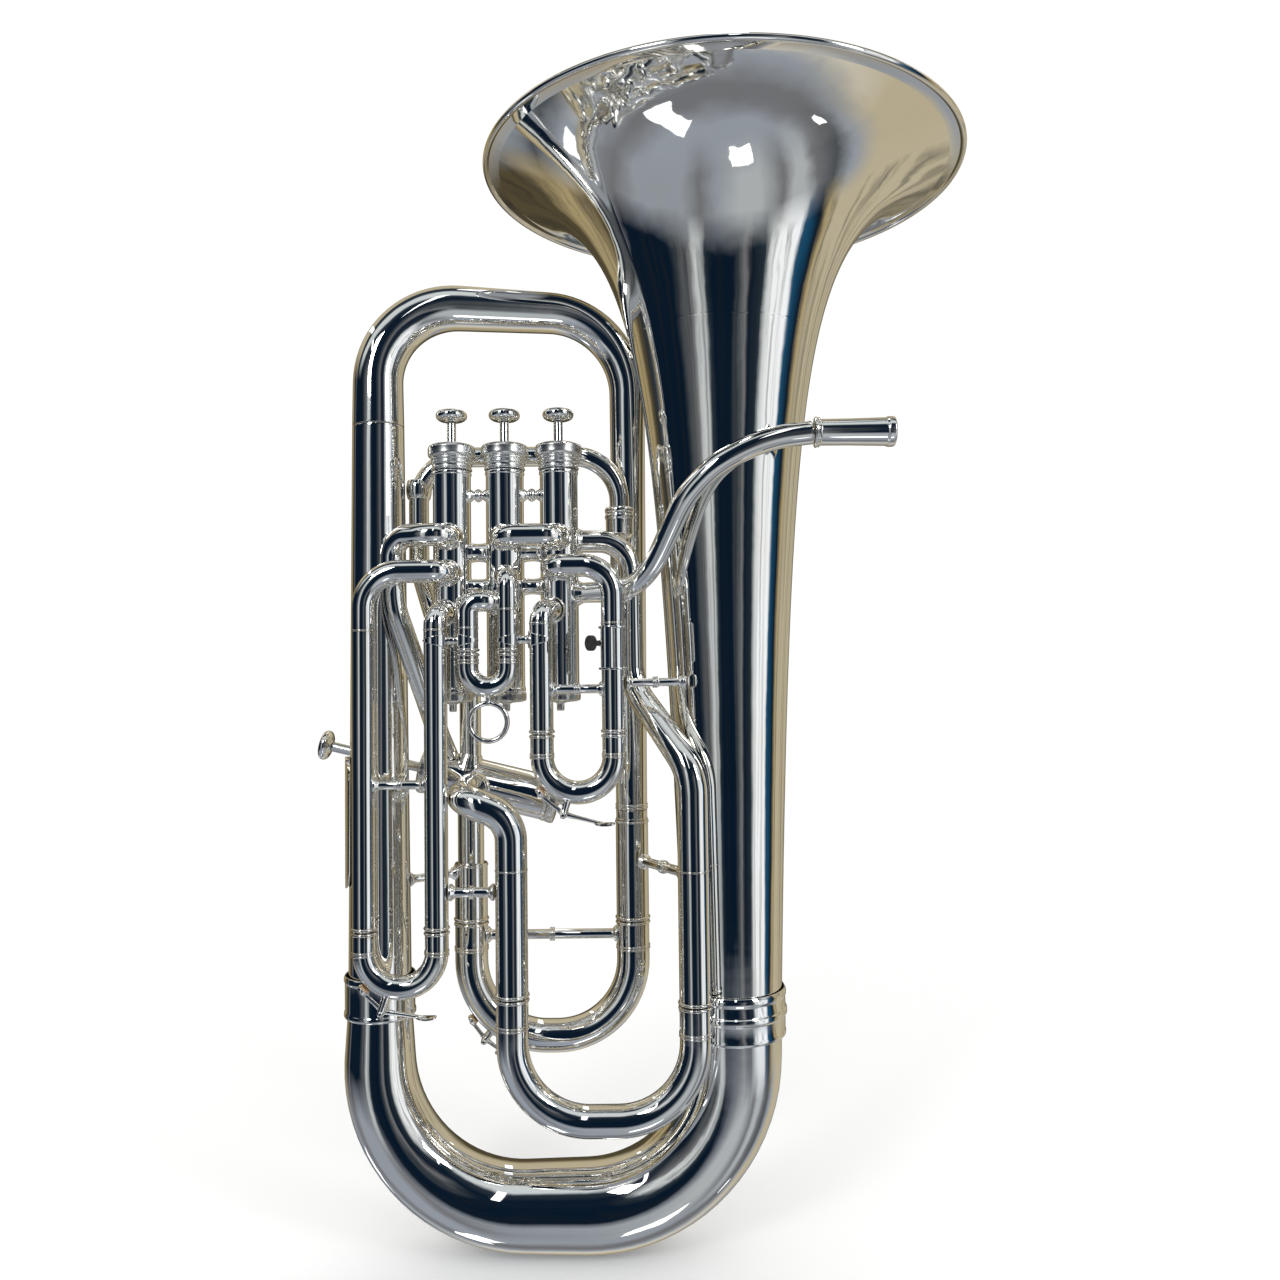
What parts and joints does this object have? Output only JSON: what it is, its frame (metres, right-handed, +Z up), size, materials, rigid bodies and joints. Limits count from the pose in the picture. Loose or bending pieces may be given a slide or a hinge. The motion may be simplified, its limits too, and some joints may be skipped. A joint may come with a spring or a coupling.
{
  "type": "euphonium",
  "caption": "Silver-plated compensating euphonium with upright bell, top valves, a side valve, pull-out tuning slides, water keys and a front leadpipe.",
  "frame": {"origin": "lowest point of the bottom bow, midway between its two ends", "axes": "+Z up along the bell, +X from the left branch towards the bell, +Y to the back, away from the valve slides"},
  "size_m": [0.4198, 0.303, 0.6823],
  "materials": {
    "silver_plate": "polished silver plate",
    "button_silver": "polished silver plate, dished tops",
    "valve_metal": "lapped nickel alloy",
    "spring_steel": "drawn wire",
    "black_plastic": "knurled black head"
  },
  "bodies": {
    "root": {"bell": "silver_plate", "bell_tail": "silver_plate", "bell_ferrule": "silver_plate", "bottom_bow": "silver_plate", "bow_ferrule": "silver_plate", "left_branch": "silver_plate", "top_bow": "silver_plate", "hand_guard": "silver_plate", "main_receiver_left": "silver_plate", "main_receiver_right": "silver_plate", "leadpipe": "silver_plate", "mouthpiece_receiver": "silver_plate", "valve_casing_1": "silver_plate", "valve_casing_2": "silver_plate", "valve_casing_3": "silver_plate", "valve_casing_4": "silver_plate", "top_cap_1": "silver_plate", "top_cap_2": "silver_plate", "top_cap_3": "silver_plate", "top_cap_4": "silver_plate", "bottom_cap_1": "silver_plate", "bottom_cap_2": "silver_plate", "bottom_cap_3": "silver_plate", "bottom_cap_4": "silver_plate", "valve_spring_1": "spring_steel", "valve_spring_2": "spring_steel", "valve_spring_3": "spring_steel", "valve_spring_4": "spring_steel", "slide_1_receiver": "silver_plate", "slide_2_receiver_left": "silver_plate", "slide_2_receiver_right": "silver_plate", "slide_3_receiver": "silver_plate", "slide_4_receiver_left": "silver_plate", "slide_4_receiver_right": "silver_plate", "crossover_2_1": "silver_plate", "crossover_3_4": "silver_plate", "valve_4_feed": "silver_plate", "compensating_arch": "silver_plate", "bell_brace": "silver_plate", "slide_3_4_brace": "silver_plate", "main_4_brace": "silver_plate", "lyre_socket": "silver_plate"},
    "lyre_screw": {"lyre_screw": "black_plastic"},
    "valve_1": {"piston_1": "valve_metal", "finger_button_1": "button_silver"},
    "valve_2": {"piston_2": "valve_metal", "finger_button_2": "button_silver"},
    "valve_3": {"piston_3": "valve_metal", "finger_button_3": "button_silver"},
    "valve_4": {"piston_4": "valve_metal", "finger_button_4": "button_silver"},
    "slide_1": {"valve_slide_1": "silver_plate"},
    "slide_2": {"valve_slide_2": "silver_plate", "pull_ring": "silver_plate"},
    "slide_3": {"valve_slide_3": "silver_plate"},
    "slide_4": {"valve_slide_4": "silver_plate"},
    "main_slide": {"main_tuning_slide": "silver_plate"},
    "key_1": {"water_key_1": "silver_plate"},
    "key_3": {"water_key_3": "silver_plate"},
    "key_main": {"water_key_main": "silver_plate"}
  },
  "joints": [
    {"name": "valve_1_stroke", "type": "slide", "parent": "root", "child": "valve_1", "axis": [0, 0, -1], "range_m": [0, 0.014], "stiffness_N_per_m": 250, "springref_m": -0.03, "deforming": ["valve_spring_1"]},
    {"name": "valve_2_stroke", "type": "slide", "parent": "root", "child": "valve_2", "axis": [0, 0, -1], "range_m": [0, 0.014], "stiffness_N_per_m": 250, "springref_m": -0.03, "deforming": ["valve_spring_2"]},
    {"name": "valve_3_stroke", "type": "slide", "parent": "root", "child": "valve_3", "axis": [0, 0, -1], "range_m": [0, 0.014], "stiffness_N_per_m": 250, "springref_m": -0.03, "deforming": ["valve_spring_3"]},
    {"name": "valve_4_stroke", "type": "slide", "parent": "root", "child": "valve_4", "axis": [0.9703, 0, -0.2419], "range_m": [0, 0.014], "stiffness_N_per_m": 250, "springref_m": -0.03, "deforming": ["valve_spring_4"]},
    {"name": "slide_1_pull", "type": "slide", "parent": "root", "child": "slide_1", "axis": [0, 0, -1], "range_m": [0, 0.035]},
    {"name": "slide_2_pull", "type": "slide", "parent": "root", "child": "slide_2", "axis": [0, 0, -1], "range_m": [0, 0.016]},
    {"name": "slide_3_pull", "type": "slide", "parent": "root", "child": "slide_3", "axis": [0, 0, -1], "range_m": [0, 0.075]},
    {"name": "slide_4_pull", "type": "slide", "parent": "root", "child": "slide_4", "axis": [0, 0, -1], "range_m": [0, 0.03]},
    {"name": "main_slide_pull", "type": "slide", "parent": "root", "child": "main_slide", "axis": [0, 0, -1], "range_m": [0, 0.03]},
    {"name": "key_1_press", "type": "hinge", "parent": "slide_1", "child": "key_1", "pos_m": [0.0085, -0.038, 0.2758], "axis": [0, -1, 0], "range_deg": [0, 12], "stiffness_Nm_per_rad": 0.02, "springref_deg": -17.19},
    {"name": "key_3_press", "type": "hinge", "parent": "slide_3", "child": "key_3", "pos_m": [-0.1004, -0.038, 0.1605], "axis": [0, -1, 0], "range_deg": [0, 12], "stiffness_Nm_per_rad": 0.02, "springref_deg": -17.19},
    {"name": "key_main_press", "type": "hinge", "parent": "main_slide", "child": "key_main", "pos_m": [-0.0495, 0.03, 0.1206], "axis": [0, -1, 0], "range_deg": [0, 9], "stiffness_Nm_per_rad": 0.02, "springref_deg": -17.19},
    {"name": "lyre_screw_turn", "type": "hinge", "parent": "root", "child": "lyre_screw", "pos_m": [0.031, -0.05, 0.3775], "axis": [-0.8486, -0.5291, 0], "continuous": true}
  ]
}
